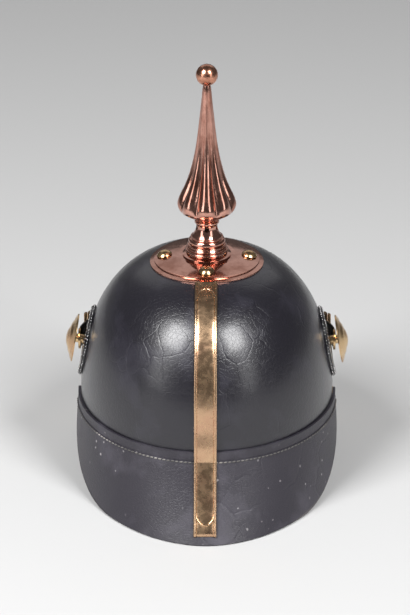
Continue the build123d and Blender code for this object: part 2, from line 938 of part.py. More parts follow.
with BuildPart() as tongue_rivets:
    for frame in rivet_frames:
        with BuildSketch(upright(frame)):
            with BuildLine():
                Polyline(
                    (0, tongue_face + running_gap + rivet_head_height),
                    (0, -strap_half - running_gap - rivet_head_height / 2),
                    (rivet_head_radius, -strap_half - running_gap - rivet_head_height / 2),
                    (rivet_head_radius, -strap_half - running_gap),
                    (rivet_shank_radius, -strap_half - running_gap),
                    (rivet_shank_radius, tongue_face + running_gap),
                    (rivet_head_radius, tongue_face + running_gap),
                )
                ThreePointArc(
                    *cap_points(rivet_head_radius, tongue_face + running_gap, rivet_head_height)
                )
            make_face()
        revolve(axis=Axis(frame.origin, frame.z_dir))
save(tongue_rivets.part, "tongue_rivets")

# The wire frame: hinge bar, two rails and the outer bar over the tongue.
rail_half_gap = strap_width / 2 - buckle_sink
frame_corners = [
    (bar_reach, -rail_half_gap, -bar_sink),
    (bar_reach, rail_half_gap, -bar_sink),
    (-bar_reach, rail_half_gap, outer_bar_lift),
    (-bar_reach, -rail_half_gap, outer_bar_lift),
]
corners = [buckle_plane.from_local_coords(Vector(*corner)) for corner in frame_corners]
with BuildPart() as buckle_frame:
    for start, end in zip(corners, corners[1:] + corners[:1]):
        with BuildSketch(Plane(origin=start, z_dir=end - start)):
            Circle(buckle_wire)
        extrude(amount=(end - start).length)
    with Locations(*corners):
        Sphere(buckle_wire)
save(buckle_frame.part, "buckle_frame")

prong_rise = outer_bar_lift + bar_sink + (buckle_wire + prong_radius) * prong_rise_share
prong_length = hypot(buckle_length, prong_rise) + 2 * prong_radius
prong_direction = buckle_plane.x_dir * -buckle_length + buckle_plane.z_dir * prong_rise
prong_root = hinge_bar + prong_direction.normalized() * prong_start
with BuildPart() as buckle_prong:
    with BuildSketch(hinge_plane):
        Circle(loop_radius)
    extrude(amount=prong_slot_half - prong_play, both=True)
    with BuildSketch(Plane(origin=prong_root, z_dir=prong_direction)):
        Circle(prong_radius)
    extrude(amount=prong_length - 1.0)
    with BuildSketch(hinge_plane):
        Circle(bar_room)
    extrude(amount=strap_width, both=True, mode=Mode.SUBTRACT)
save(buckle_prong.part, "buckle_prong")

# The keeper: a flat loop round strap and tongue.
keeper_plane = strap_frame(angle_at(keeper_place))
keeper_low = -strap_half - seat_gap
keeper_high = tongue_face + seat_gap
keeper_room_height = keeper_high - keeper_low
with BuildPart() as strap_keeper:
    with BuildSketch(Plane(origin=keeper_plane.origin, x_dir=keeper_plane.y_dir, z_dir=keeper_plane.x_dir)):
        with Locations((0, (keeper_low + keeper_high) / 2)):
            Rectangle(
                strap_width + 2 * seat_gap + 2 * keeper_brass, keeper_room_height + 2 * keeper_brass
            )
            Rectangle(strap_width + 2 * seat_gap, keeper_room_height, mode=Mode.SUBTRACT)
    extrude(amount=keeper_length / 2, both=True)
save(strap_keeper.part, "strap_keeper")

# The scales: thin plates with rounded ends that overlap like roof tiles.
first_angle = scale_start / strap_reach
scale_step = (angle_at(scale_end) - first_angle) / scale_count
lift = radians(scale_lift)
with BuildPart() as scales_right:
    for index in range(scale_count):
        angle = first_angle + (index + 0.5) * scale_step
        pitch = scale_step * hypot(hinge_half_width * sin(angle), strap_reach * cos(angle))
        length = pitch * scale_overlap_share
        taper = index / (scale_count - 1)
        width = scale_first_width + (scale_last_width - scale_first_width) * taper
        frame = strap_frame(angle, strap_half + length / 2 * sin(lift))
        tilted = Plane(
            origin=frame.origin,
            x_dir=frame.x_dir * cos(lift) - frame.z_dir * sin(lift),
            z_dir=frame.z_dir * cos(lift) + frame.x_dir * sin(lift),
        )
        with BuildSketch(tilted) as tile:
            Rectangle(length, width)
            fillet(tile.vertices().sort_by(Axis.X)[:2], length * scale_round_share)
        extrude(amount=scale_brass)
save(scales_right.part, "scales_right")
with BuildPart() as scales_left:
    mirror(scales_right.part, about=Plane.YZ)
save(scales_left.part, "scales_left")


# The plate on the front

star_seat = seat_gap + star_brass + seat_gap
star_centre = skull_plane(pi / 2, star_height_share)
star_tips = []
for index in range(star_corners):
    angle = 2 * pi * index / star_corners
    reach_share = (1, star_waist_share, star_short_share, star_waist_share)[index % 4]
    star_tips.append(
        (star_radius * reach_share * sin(angle), star_radius * reach_share * cos(angle))
    )
with BuildPart() as star_prism:
    with BuildSketch(Plane(origin=(0, 0, star_height), x_dir=(-1, 0, 0), z_dir=(0, 1, 0))):
        with BuildLine():
            Polyline(*star_tips, close=True)
        make_face()
    extrude(amount=far / 2)
star_shell = between(dome_solid(seat_gap + star_brass), dome_seat, star_prism.part)
with BuildPart() as front_star:
    add(star_shell)
    for plane in star_planes:
        with BuildSketch(plane.offset(seat_gap + star_brass / 2)):
            Circle(star_post_radius)
        extrude(amount=inside_seat - washer_thickness - nut_thickness - star_brass - seat_gap)
save(front_star.part, "front_star")

star_face = dome_solid(star_seat)
ring_hole = turned_bar(star_centre, boss_radius + seat_gap, 3 * overrun)
ring_disc = between(
    dome_solid(star_seat + ring_thickness), star_face, turned_bar(star_centre, ring_radius, 2 * overrun)
)
with BuildPart() as star_ring:
    add(ring_disc)
    add(ring_hole, mode=Mode.SUBTRACT)
save(star_ring.part, "star_ring")
star_boss = between(
    dome_solid(star_seat + boss_thickness), star_face, turned_bar(star_centre, boss_radius, 2 * overrun)
)
save(star_boss, "star_boss")


# The spine

spine_top_reach = plate_radius + 3 * seat_gap
spine_dome_shares = (
    dome_height_share(spine_top_reach / skull_rear), 0.92, 0.86, 0.78, 0.68, 0.57, 0.45, 0.32, 0.2
)
spine_skirt_shares = (0.25, 0.5, 0.75)
hem_height = edge_height + channel_width
hem_share = 1 - hem_height / rim_height


def spine_dome_line(grow):
    """The spine's line from the base plate to the skull's rim, seen from the side."""
    points = []
    for height_share in spine_dome_shares:
        height, centre, half_width, half_length = dome_section(height_share, grow)
        points.append((centre - half_length, height))
    for level in (flange_top, rim_height):
        over_flange = grow + seat_gap + flange_leather
        height, centre, half_width, half_length = dome_section(
            (level - dome_foot) / dome_height, over_flange
        )
        points.append((centre - half_length, height))
    return points


def skirt_rear(drop_share, grow):
    """One point of the skirt's line at the back, seen from the side."""
    height, centre, half_width, rear, front, bend = skirt_section(drop_share, grow)
    return centre - rear, height


def spine_outer_line(grow):
    """The outside of the spine, drawn from the top down to the ground line."""
    upper = spine_dome_line(grow)
    lower = [skirt_rear(share, grow) for share in (*spine_skirt_shares, 1.0)]
    Spline(*upper)
    Spline(upper[-1], *lower)
    return upper[0], lower[-1]


fold_depth = -visor_leather - channel_gap - channel_brass
with BuildPart() as spine_block:
    with BuildSketch(Plane.YZ):
        with BuildLine():
            top, foot = spine_outer_line(seat_gap + spine_rail_brass)
            upper = spine_dome_line(-spine_filling)
            lower = [skirt_rear(share, -spine_filling) for share in (*spine_skirt_shares, hem_share)]
            Spline(*upper)
            Spline(upper[-1], *lower)
            Line(top, upper[0])
            Polyline(foot, skirt_rear(1.0, fold_depth), skirt_rear(hem_share, fold_depth), lower[-1])
        make_face()
    extrude(amount=spine_width / 2, both=True)
with BuildPart() as spine_window:
    with BuildSketch(Plane.YZ):
        with BuildLine():
            top, foot = spine_outer_line(seat_gap + spine_brass)
            Polyline(foot, (-far, 0), (-far, top[1]), top)
        make_face()
        with Locations((-spine_top_reach - spine_rail_width - far, spine_rail_width + far)):
            Rectangle(2 * far, 2 * far, mode=Mode.INTERSECT)
    extrude(amount=spine_width / 2 - spine_rail_width, both=True)
flange_room = dome_solid(2 * seat_gap + flange_leather)
flange_cut = between(
    flange_room, spine_bores, level_slab(dome_foot, flange_top + seat_gap)
)
edge_room = between(
    leather_room, spine_bores, level_slab(edge_height - channel_gap, rim_height + overrun)
)
with BuildPart() as rear_spine:
    add(spine_block.part)
    add(spine_window.part, mode=Mode.SUBTRACT)
    add(dome_seat, mode=Mode.SUBTRACT)
    add(flange_cut, mode=Mode.SUBTRACT)
    add(edge_room, mode=Mode.SUBTRACT)
    for plane in spine_planes:
        with BuildSketch(plane.offset(seat_gap + spine_brass / 2)):
            Circle(spine_post_radius)
        extrude(amount=inside_seat - washer_thickness - nut_thickness - spine_brass - seat_gap)
save(rear_spine.part, "rear_spine")


# The inside

band_seat = skull_leather + channel_gap
sweatband = between(
    dome_solid(-band_seat),
    dome_solid(-band_seat - band_leather),
    level_slab(rim_height + seat_gap, rim_height + band_height),
)
save(sweatband, "sweatband")


def liner_solid(grow):
    """The space the liner closes in, tapering to the opening at its crown."""
    with BuildPart() as space:
        for height_share, inset_share in liner_inset_shares:
            height = rim_height + liner_foot + liner_height * height_share
            share = dome_share((height - dome_foot) / dome_height)
            inset = liner_first_inset + (liner_last_inset - liner_first_inset) * inset_share - grow
            with BuildSketch(Plane.XY.offset(height)):
                with Locations((0, skull_shift * share)):
                    Ellipse(skull_half_width * share - inset, skull_half_length * share - inset)
        loft()
    return space.part


liner_outside = liner_solid(0)
liner_inside = liner_solid(-liner_leather)
with BuildPart() as liner:
    add(liner_outside)
    add(liner_inside, mode=Mode.SUBTRACT)
    with BuildSketch(Plane.XY.offset(rim_height + slot_foot)):
        with PolarLocations(far / 4, slot_count):
            Rectangle(far / 2, slot_width)
    extrude(amount=dome_height, mode=Mode.SUBTRACT)
save(liner.part, "liner")
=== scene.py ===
# %% [markdown]
# # A spiked leather parade helmet
#
# The helmet is a skull of black varnished leather with two visors sewn to its rim. Brass and
# copper fittings are screwed to it: a spine up the back, a round plate with the neck and the
# fluted spike, a cockade and a rosette over each ear, a star on the front and a loop of
# brass scales. The rigid pieces come from the measured frame. This script gives each of them
# its finish and models what is soft, sewn or too fine for the frame: the stitches, the rolled
# edge of the spine, the beads of the cockades, the leather straps and the liner.
#
# All lengths are in metres. The wearer looks along +Y, the wearer's right is +X, up is +Z.

# %% Load the frame
import json
import math

import bmesh
import bpy
from mathutils import Matrix, Vector
from mathutils.bvhtree import BVHTree


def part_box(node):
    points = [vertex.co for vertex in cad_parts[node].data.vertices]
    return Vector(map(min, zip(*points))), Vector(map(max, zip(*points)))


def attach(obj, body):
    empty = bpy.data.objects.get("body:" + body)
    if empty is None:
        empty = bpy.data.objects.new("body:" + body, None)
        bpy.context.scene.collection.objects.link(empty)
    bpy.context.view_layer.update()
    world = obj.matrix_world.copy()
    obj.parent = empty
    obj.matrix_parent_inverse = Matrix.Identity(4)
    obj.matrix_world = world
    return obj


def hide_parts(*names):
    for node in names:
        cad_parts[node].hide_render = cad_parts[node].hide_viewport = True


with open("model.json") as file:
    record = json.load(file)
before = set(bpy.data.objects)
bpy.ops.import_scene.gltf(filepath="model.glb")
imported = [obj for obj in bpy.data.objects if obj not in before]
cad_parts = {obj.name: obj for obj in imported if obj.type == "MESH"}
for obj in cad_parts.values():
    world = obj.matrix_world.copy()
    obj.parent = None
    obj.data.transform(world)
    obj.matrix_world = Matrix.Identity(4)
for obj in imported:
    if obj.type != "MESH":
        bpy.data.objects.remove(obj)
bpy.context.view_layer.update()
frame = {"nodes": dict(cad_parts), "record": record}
print("the frame holds", len(frame["nodes"]), "pieces")

# %% [markdown]
# ## Small tools for building
#
# Almost every piece here is a sheet: strip brass, leather, a rolled edge. So there is one main
# tool. It makes a grid of faces and places each corner by two shares, one along each side of
# the grid. Where two sides meet, as on a hoop or a tube, they are welded together.

# %% Tools for building pieces
MM = 0.001
WELD = 0.002 * MM
SHARP_EDGE = math.radians(40)
SIGHT = 40 * MM


def shaped(maker, columns, rows, place, caps=False):
    """A grid of faces whose corners are placed by a function of two shares from 0 to 1."""
    made = bmesh.ops.create_grid(maker, x_segments=columns, y_segments=rows, size=0.5)
    for corner in made["verts"]:
        corner.co = place(corner.co.x + 0.5, corner.co.y + 0.5)
    bmesh.ops.remove_doubles(maker, verts=made["verts"], dist=WELD)
    if caps:
        open_edges = [edge for edge in maker.edges if edge.is_boundary]
        bmesh.ops.holes_fill(maker, edges=open_edges, sides=0)


def tube(maker, line, radius, sides=10):
    """A round bar along a line of points, with closed ends."""
    spots = [Vector(point) for point in line]

    def place(round_share, share):
        index = round(share * (len(spots) - 1))
        ahead = spots[min(index + 1, len(spots) - 1)] - spots[max(index - 1, 0)]
        turn = ahead.to_track_quat("Z", "Y")
        angle = math.tau * round_share
        return spots[index] + turn @ Vector((math.cos(angle), math.sin(angle), 0)) * radius

    shaped(maker, sides, len(spots) - 1, place, caps=True)


def bead(maker, place, radii, turn=None):
    """A small rounded lump, such as a stitch or a bead, with its three radii."""
    matrix = Matrix.Translation(place)
    if turn is not None:
        matrix = matrix @ turn.to_matrix().to_4x4()
    matrix = matrix @ Matrix.Diagonal((*radii, 1))
    bmesh.ops.create_uvsphere(maker, u_segments=8, v_segments=5, radius=1, matrix=matrix)


def finish_piece(name, maker, body, slot, replaced=()):
    """Makes an object of the drawn faces; it rides on a body and has one finish."""
    bmesh.ops.recalc_face_normals(maker, faces=maker.faces)
    mesh = bpy.data.meshes.new(name)
    maker.to_mesh(mesh)
    maker.free()
    mesh.materials.append(finishes[slot])
    mesh.shade_smooth()
    mesh.set_sharp_from_angle(angle=SHARP_EDGE)
    piece = bpy.data.objects.new(name, mesh)
    bpy.context.scene.collection.objects.link(piece)
    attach(piece, body)
    if replaced:
        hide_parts(*replaced)
    print(name, "has", len(mesh.polygons), "faces")


def surface_of(node):
    """A search tree of one frame piece, to find where a line of sight meets it."""
    mesh = frame["nodes"][node].data
    corners = [vertex.co.copy() for vertex in mesh.vertices]
    return BVHTree.FromPolygons(corners, [tuple(face.vertices) for face in mesh.polygons])


def landing(surface, start, sight):
    """Where a line of sight meets a surface, and which way the surface faces there."""
    return surface.ray_cast(start, sight)[:2]


print("points within", WELD / MM, "mm of each other are welded")


# %% [markdown]
# ## Finishes
#
# Three effects come back on many pieces, so each is a node group with named inputs: the grain
# and cracks of old leather, the blotches and fine scratches of polished metal, and pale specks
# of dust. The groups only give colours, masks and heights. Each material keeps its own shader.

# %% Node groups for wear
def new_group(name, inputs, outputs):
    """An empty node group with named sockets."""
    group = bpy.data.node_groups.new(name, "ShaderNodeTree")
    for label, value in inputs:
        socket = group.interface.new_socket(label, in_out="INPUT", socket_type="NodeSocketFloat")
        socket.default_value = value
    for label in outputs:
        group.interface.new_socket(label, in_out="OUTPUT", socket_type="NodeSocketFloat")
    return group, group.nodes.new("NodeGroupInput"), group.nodes.new("NodeGroupOutput")


def feed(tree, socket, value):
    """Sets an input to a number or a colour, or links it where the value is an output."""
    if isinstance(value, bpy.types.NodeSocket):
        tree.links.new(value, socket)
    elif isinstance(value, tuple):
        socket.default_value = (*value, 1)
    else:
        socket.default_value = value


def math_node(tree, kind, first, second):
    """One sum of two values."""
    node = tree.nodes.new("ShaderNodeMath")
    node.operation = kind
    feed(tree, node.inputs[0], first)
    feed(tree, node.inputs[1], second)
    return node.outputs[0]


def ramp(tree, value, low, high, bottom=0.0, top=1.0):
    """Stretches a value between two limits and clamps it."""
    node = tree.nodes.new("ShaderNodeMapRange")
    tree.links.new(value, node.inputs["Value"])
    node.inputs["From Min"].default_value = low
    node.inputs["From Max"].default_value = high
    node.inputs["To Min"].default_value = bottom
    node.inputs["To Max"].default_value = top
    return node.outputs["Result"]


def noise(tree, coordinates, scale, detail=3.0, rough=0.55):
    """Soft random clouds."""
    node = tree.nodes.new("ShaderNodeTexNoise")
    tree.links.new(coordinates, node.inputs["Vector"])
    feed(tree, node.inputs["Scale"], scale)
    node.inputs["Detail"].default_value = detail
    node.inputs["Roughness"].default_value = rough
    return node


def cells(tree, coordinates, scale, feature):
    """Random cells: the distance to their edges, or to their centres."""
    node = tree.nodes.new("ShaderNodeTexVoronoi")
    node.feature = feature
    tree.links.new(coordinates, node.inputs["Vector"])
    feed(tree, node.inputs["Scale"], scale)
    return node


def warped(tree, scale, amount):
    """Object coordinates pushed about by noise, so that straight patterns wander."""
    place = tree.nodes.new("ShaderNodeTexCoord").outputs["Object"]
    push = noise(tree, place, scale).outputs["Color"]
    mix = tree.nodes.new("ShaderNodeVectorMath")
    mix.operation = "MULTIPLY_ADD"
    tree.links.new(push, mix.inputs[0])
    mix.inputs[1].default_value = (amount, amount, amount)
    tree.links.new(place, mix.inputs[2])
    return mix.outputs[0]


def leather_group():
    """Pores, a net of fine cracks and long creases of varnished leather."""
    group, enter, leave = new_group(
        "leather_wear", (("Crack scale", 330), ("Crease scale", 48)), ("Height", "Rubbed")
    )
    place = warped(group, scale=90, amount=0.006)
    crack_net = cells(group, place, enter.outputs["Crack scale"], "DISTANCE_TO_EDGE")
    crease_net = cells(group, place, enter.outputs["Crease scale"], "DISTANCE_TO_EDGE")
    cracks = ramp(group, crack_net.outputs["Distance"], low=0, high=0.09)
    creases = ramp(group, crease_net.outputs["Distance"], low=0, high=0.035)
    where = ramp(group, noise(group, place, scale=16).outputs["Fac"], low=0.47, high=0.6)
    pores = noise(group, place, scale=1400, detail=2).outputs["Fac"]
    patches = noise(group, place, scale=30, detail=5).outputs["Fac"]
    deep = math_node(group, "MULTIPLY", math_node(group, "SUBTRACT", creases, 1), where)
    net = math_node(group, "MULTIPLY", math_node(group, "SUBTRACT", cracks, 1), 0.35)
    rough = math_node(group, "MULTIPLY", pores, 0.3)
    total = math_node(group, "ADD", math_node(group, "ADD", deep, net), rough)
    group.links.new(total, leave.inputs["Height"])
    group.links.new(ramp(group, patches, low=0.5, high=0.75), leave.inputs["Rubbed"])
    return group


def metal_group():
    """Blotches of tarnish, smears and fine scratches of hand-polished metal."""
    sockets = ("Height", "Tarnish", "Smear")
    group, enter, leave = new_group("metal_wear", (("Blotch scale", 45),), sockets)
    place = warped(group, scale=60, amount=0.008)
    blotch = noise(group, place, enter.outputs["Blotch scale"], detail=5, rough=0.6).outputs["Fac"]
    stretch = group.nodes.new("ShaderNodeMapping")
    stretch.inputs["Scale"].default_value = (2600, 2600, 130)
    group.links.new(place, stretch.inputs["Vector"])
    scratches = noise(group, stretch.outputs[0], scale=1, detail=2).outputs["Fac"]
    dents = noise(group, place, scale=160, detail=2).outputs["Fac"]
    smears = noise(group, place, scale=220, detail=4).outputs["Fac"]
    height = math_node(group, "ADD", math_node(group, "MULTIPLY", scratches, 0.12), dents)
    group.links.new(height, leave.inputs["Height"])
    group.links.new(ramp(group, blotch, low=0.46, high=0.68), leave.inputs["Tarnish"])
    group.links.new(ramp(group, smears, low=0.4, high=0.7), leave.inputs["Smear"])
    return group


def dust_group():
    """Scattered pale specks."""
    group, enter, leave = new_group("dust_specks", (("Speck scale", 260), ("Amount", 0.8)), ("Specks",))
    place = warped(group, scale=300, amount=0.002)
    specks = cells(group, place, enter.outputs["Speck scale"], "F1")
    near = ramp(group, specks.outputs["Distance"], low=0.30, high=0.16)
    picked = math_node(group, "GREATER_THAN", specks.outputs["Color"], enter.outputs["Amount"])
    area = ramp(group, noise(group, place, scale=22, detail=2).outputs["Fac"], low=0.45, high=0.6)
    both = math_node(group, "MULTIPLY", near, picked)
    group.links.new(math_node(group, "MULTIPLY", both, area), leave.inputs["Specks"])
    return group


leather_wear = leather_group()
metal_wear = metal_group()
dust_specks = dust_group()
print("wear groups:", leather_wear.name, metal_wear.name, dust_specks.name)

# %% [markdown]
# ## Materials
#
# Two recipes give all the finishes: one for leather, varnish and thread, and one for metal. Each
# takes a clean and a worn colour. The frame's record says which finish a piece wears; only the
# ball on the spike gets a darker copper of its own, since fingers have handled it most.

# %% Materials
LEATHER_RELIEF = 0.5 * MM
METAL_RELIEF = 0.6 * MM
METAL_BUMP = 0.02
COAT_ROUGHNESS = 0.22


def new_material(name, roughness, metallic=0.0, coat=0.0):
    """A material with its shader's fixed values set on the shader itself."""
    material = bpy.data.materials.new(name)
    material.use_nodes = True
    shader = material.node_tree.nodes["Principled BSDF"]
    shader.inputs["Roughness"].default_value = roughness
    shader.inputs["Metallic"].default_value = metallic
    shader.inputs["Coat Weight"].default_value = coat
    shader.inputs["Coat Roughness"].default_value = COAT_ROUGHNESS
    return material, material.node_tree, shader


def use_group(tree, group, **values):
    """Places a node group and sets its inputs."""
    node = tree.nodes.new("ShaderNodeGroup")
    node.node_tree = group
    for label, value in values.items():
        node.inputs[label.replace("_", " ").capitalize()].default_value = value
    return node


def blend_colors(tree, mask, first, second):
    """Mixes two colours by a mask; either colour may be a socket."""
    node = tree.nodes.new("ShaderNodeMix")
    node.data_type = "RGBA"
    tree.links.new(mask, node.inputs["Factor"])
    feed(tree, node.inputs[6], first)
    feed(tree, node.inputs[7], second)
    return node.outputs[2]


def bump(tree, shader, height, strength, distance):
    """Roughens the surface by a height."""
    node = tree.nodes.new("ShaderNodeBump")
    node.inputs["Strength"].default_value = strength
    node.inputs["Distance"].default_value = distance
    tree.links.new(height, node.inputs["Height"])
    tree.links.new(node.outputs[0], shader.inputs["Normal"])


def leather(
    name, color, rubbed, roughness, spread,
    speck=None, crack_scale=330, crease_scale=48, depth=0.5, coat=0.0,
):
    """Leather: cracked, creased and rubbed, dusty where a speck colour is given."""
    material, tree, shader = new_material(name, roughness, coat=coat)
    wear = use_group(tree, leather_wear, crack_scale=crack_scale, crease_scale=crease_scale)
    tone = blend_colors(tree, wear.outputs["Rubbed"], color, rubbed)
    if speck:
        dust = use_group(tree, dust_specks)
        tone = blend_colors(tree, dust.outputs["Specks"], tone, speck)
    tree.links.new(tone, shader.inputs["Base Color"])
    gloss = ramp(tree, wear.outputs["Rubbed"], 0, 1, roughness, roughness + spread)
    tree.links.new(gloss, shader.inputs["Roughness"])
    bump(tree, shader, wear.outputs["Height"], depth, LEATHER_RELIEF)
    return material


def metal(name, color, tarnish, roughness, spread, blotch=45):
    """Polished metal with tarnish in blotches, slight dents and fine scratches."""
    material, tree, shader = new_material(name, roughness, 1.0)
    wear = use_group(tree, metal_wear, blotch_scale=blotch)
    tone = blend_colors(tree, wear.outputs["Tarnish"], color, tarnish)
    tree.links.new(tone, shader.inputs["Base Color"])
    gloss = ramp(tree, wear.outputs["Smear"], 0, 1, roughness, roughness + spread)
    tree.links.new(gloss, shader.inputs["Roughness"])
    bump(tree, shader, wear.outputs["Height"], METAL_BUMP, METAL_RELIEF)
    return material


finishes = {
    "black_leather": leather(
        "skull_leather", (0.010, 0.009, 0.014), (0.026, 0.024, 0.036), 0.32, 0.12, depth=0.32, coat=0.55
    ),
    "visor_leather": leather(
        "visor_leather", (0.030, 0.027, 0.036), (0.075, 0.069, 0.087), 0.42, 0.2,
        speck=(0.34, 0.32, 0.33), crack_scale=420, crease_scale=30, depth=0.35,
    ),
    "lining_leather": leather(
        "lining_leather", (0.10, 0.07, 0.045), (0.16, 0.12, 0.08), 0.62, 0.15, crack_scale=600
    ),
    "liner_leather": leather(
        "liner_leather", (0.27, 0.17, 0.09), (0.40, 0.27, 0.16), 0.58, 0.15, crack_scale=520
    ),
    "strap_leather": leather(
        "strap_leather", (0.018, 0.015, 0.013), (0.05, 0.04, 0.032), 0.42, 0.2, crack_scale=500
    ),
    "brass": metal("old_brass", (0.74, 0.52, 0.28), (0.56, 0.33, 0.18), 0.18, 0.12),
    "spine_brass": metal("spine_brass", (0.66, 0.44, 0.27), (0.60, 0.36, 0.23), 0.22, 0.10, blotch=35),
    "copper": metal("rose_copper", (0.62, 0.33, 0.26), (0.40, 0.18, 0.13), 0.11, 0.10, blotch=70),
    "ball_copper": metal("ball_copper", (0.62, 0.30, 0.20), (0.34, 0.14, 0.09), 0.2, 0.15, blotch=160),
    "white_metal": metal("white_metal", (0.72, 0.70, 0.66), (0.50, 0.47, 0.42), 0.2, 0.15),
    # Silver on the cockade beads is a painted highlight for glints on black enamel; the dark patches
    # are the enamel.
    "bead_painted_glint": metal("bead_painted_glint", (0.60, 0.58, 0.58), (0.04, 0.04, 0.045), 0.15, 0.1, blotch=500),
    "steel": metal("plain_steel", (0.42, 0.41, 0.40), (0.20, 0.17, 0.15), 0.38, 0.2),
    "black_paint": leather(
        "black_enamel", (0.006, 0.006, 0.008), (0.014, 0.014, 0.018), 0.24, 0.15, depth=0.1, coat=0.4
    ),
    "thread": leather(
        "sewing_thread", (0.10, 0.095, 0.09), (0.62, 0.58, 0.54), 0.7, 0.1, crack_scale=900
    ),
    # Pale patches on the rear visor's rolled edge: partly worn wax, partly a painted highlight along
    # the edge.
    "worn_and_highlight_edge": leather(
        "worn_and_highlight_edge", (0.035, 0.032, 0.038), (0.21, 0.19, 0.19), 0.5, 0.2, crack_scale=900
    ),
}
slot_of = {entry["node"]: entry["material_slot"] for entry in frame["record"]["subparts"]}
finish_of = dict(slot_of, spike_ball="ball_copper")
for node, piece in frame["nodes"].items():
    for slot in piece.material_slots:
        slot.material = finishes[finish_of[node]]
print(len(finishes), "finishes are on", len(slot_of), "pieces")

# %% [markdown]
# ## The shapes of the leather
#
# The skull follows one curve from rim to crown, and its level sections are ellipses. Under the
# rim the visors flare out. Pieces that lie on the leather need both shapes, so they are
# written here once.

# %% The curves of skull and visors
RIM = 52 * MM
FOOT = 50 * MM
RISE = 113.2 * MM
HALF_WIDTH = 91.8 * MM
HALF_LENGTH = 105 * MM
FORWARD = 3 * MM
WALL_RISE_POWER = 2.316
WALL_SHARE_POWER = 2.836
FLANGE = 2.3 * MM
VISOR_HALF_WIDTH = 98.5 * MM
REAR_REACH = 133 * MM
FRONT_REACH = 134.4 * MM
REAR_ROUNDNESS = 1.85
FRONT_ROUNDNESS = 2.2
FIRST_FLARE = 0.75
REACH_INSET = 1.15


def wall(angle, height, inset=0.0):
    """A point on the skull's outside at an angle round it, moved inwards by an inset."""
    share = (1 - ((height - FOOT) / RISE) ** WALL_RISE_POWER) ** (1 / WALL_SHARE_POWER)
    across = (HALF_WIDTH * share - inset) * math.cos(angle)
    along = (HALF_LENGTH * share - inset) * math.sin(angle)
    return Vector((across, along + FORWARD * share, height))


def skirt(angle, drop, inset=0.0):
    """A point on the visors' outside, a share of the way from the rim to the ground line."""
    bend = FIRST_FLARE * drop + (1 - FIRST_FLARE) * drop**2
    sine, cosine = math.sin(angle), math.cos(angle)
    reach, roundness = (FRONT_REACH, FRONT_ROUNDNESS) if sine > 0 else (REAR_REACH, REAR_ROUNDNESS)
    power = 2 / (2 + (roundness - 2) * bend)
    ends = HALF_LENGTH + FLANGE
    half_width = HALF_WIDTH + FLANGE + (VISOR_HALF_WIDTH - HALF_WIDTH - FLANGE) * bend
    half_length = ends + (reach - ends) * bend
    across = (half_width - inset) * math.copysign(abs(cosine) ** power, cosine)
    along = (half_length - REACH_INSET * inset) * math.copysign(abs(sine) ** power, sine)
    return Vector((across, along + FORWARD * (1 - bend), RIM * (1 - drop)))


def lowest_share(surface, angle, inset, reach, halvings):
    """How far down the visors' curve a surface still lies near, found by halving."""
    top, bottom = 0.02, 1.0
    for halving in range(halvings):
        middle = (top + bottom) / 2
        spot = surface.find_nearest(skirt(angle, middle, inset), reach)[0]
        top, bottom = (middle, bottom) if spot is not None else (top, middle)
    return top


print("at its rim the skull is", round(2 * wall(0, RIM).x / MM), "mm wide")

# %% [markdown]
# ## Stitches
#
# Each visor is sewn to the skull with waxed linen thread. The stitches sit in the crease under
# the flange, three or four millimetres apart, and age has rubbed many of them pale.

# %% Stitches along both visors
STITCH_LIFT = 0.3 * MM
STITCH_RADII = (1.35 * MM, 0.5 * MM, 0.55 * MM)
STITCH_SLANT = 0.12 * MM
CREASE_DROP = 1 * MM
CREASE_DEPTH = 10 * MM


def stitches(name, visor, first, last, count):
    """A row of slightly slanting stitches in one visor's crease, between two angles."""
    maker = bmesh.new()
    leather_face = surface_of(visor)
    for index in range(count):
        angle = math.radians(first + (last - first) * index / (count - 1))
        inside = wall(angle, RIM - CREASE_DROP, CREASE_DEPTH)
        sight = (wall(angle, RIM) - wall(angle, RIM, CREASE_DEPTH)).normalized()
        spot, normal = landing(leather_face, inside + sight * SIGHT, -sight)
        if spot is not None:
            along = wall(angle + 0.01, RIM) - wall(angle, RIM) + Vector((0, 0, STITCH_SLANT))
            turn = along.to_track_quat("X", "Z")
            bead(maker, spot + normal * STITCH_LIFT, STITCH_RADII, turn)
    finish_piece(name, maker, "helmet", "thread")


stitches("rear_stitches", "rear_visor", -177, -3, 94)
stitches("front_stitches", "front_visor", 15, 165, 84)

# %% [markdown]
# ## The spine
#
# The spine is a brass strip stamped in a die: both edges are rolled up into a round bead, the
# middle is slightly domed, and a beaded arch closes it at the top and at the bottom. The strip
# is bent over the leather and hooked under the visor's edge. So it is drawn as one section that
# is carried along the strip's line, with two arches laid on it.

# %% Spine strip
SPINE_HALF = 8 * MM
BEAD = 1.15 * MM
WEB = 1.3 * MM
CROWNING = 0.45 * MM
HALF_EDGE = 1.3 * MM
FOLDED = 0.38
HOOK_DROP = 1.2 * MM
HOOK_RETURN = 4 * MM
ARCH_LIFT = 1.5 * MM
ARCH_RADIUS = 0.8 * MM
arches = ((0.085, -0.06), (0.835, 0.045))
bead_steps, web_steps, down_steps, hook_steps = 9, 8, 79, 8
bead_turns = [math.radians(-60 + 225 * step / bead_steps) for step in range(bead_steps + 1)]
web = [(SPINE_HALF - 2.2 * BEAD) * (1 - 2 * step / web_steps) for step in range(web_steps + 1)]
rolled = [
    (SPINE_HALF - BEAD + BEAD * math.cos(turn), BEAD + BEAD * math.sin(turn)) for turn in bead_turns
]
domed = [(across, WEB + CROWNING * (1 - (across / SPINE_HALF) ** 2)) for across in web]
spine_section = rolled + domed + [(-across, height) for across, height in reversed(rolled)]


